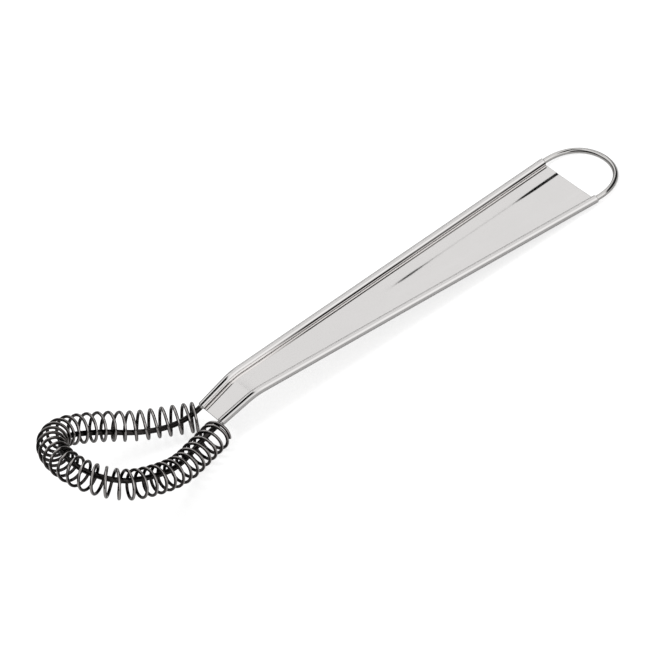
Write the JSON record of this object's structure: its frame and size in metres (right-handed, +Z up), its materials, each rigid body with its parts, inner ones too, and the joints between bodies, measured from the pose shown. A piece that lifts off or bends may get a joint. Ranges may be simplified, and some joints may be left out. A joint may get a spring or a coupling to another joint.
{
  "type": "spoon whisk",
  "caption": "Spoon whisk: a wire coil on a bent wire loop, with a tapered sheet handle whose rolled edges grip the wire, and a hanging loop.",
  "frame": {"origin": "on the worktop under the middle of the whole tool, as it lies on the heel of its coil and on its hanging loop", "axes": "+X along the tool from the head's tip to the hanging loop, +Y across it, +Z up from the worktop"},
  "size_m": [0.2394, 0.0528, 0.035],
  "materials": {
    "pressed_sheet": "polished stainless sheet",
    "drawn_wire": "bright drawn stainless wire",
    "spring_wire": "bright hard drawn spring wire"
  },
  "bodies": {
    "root": {"handle_plate": "pressed_sheet", "frame_wire": "drawn_wire", "coil_spring": "spring_wire"}
  },
  "joints": []
}
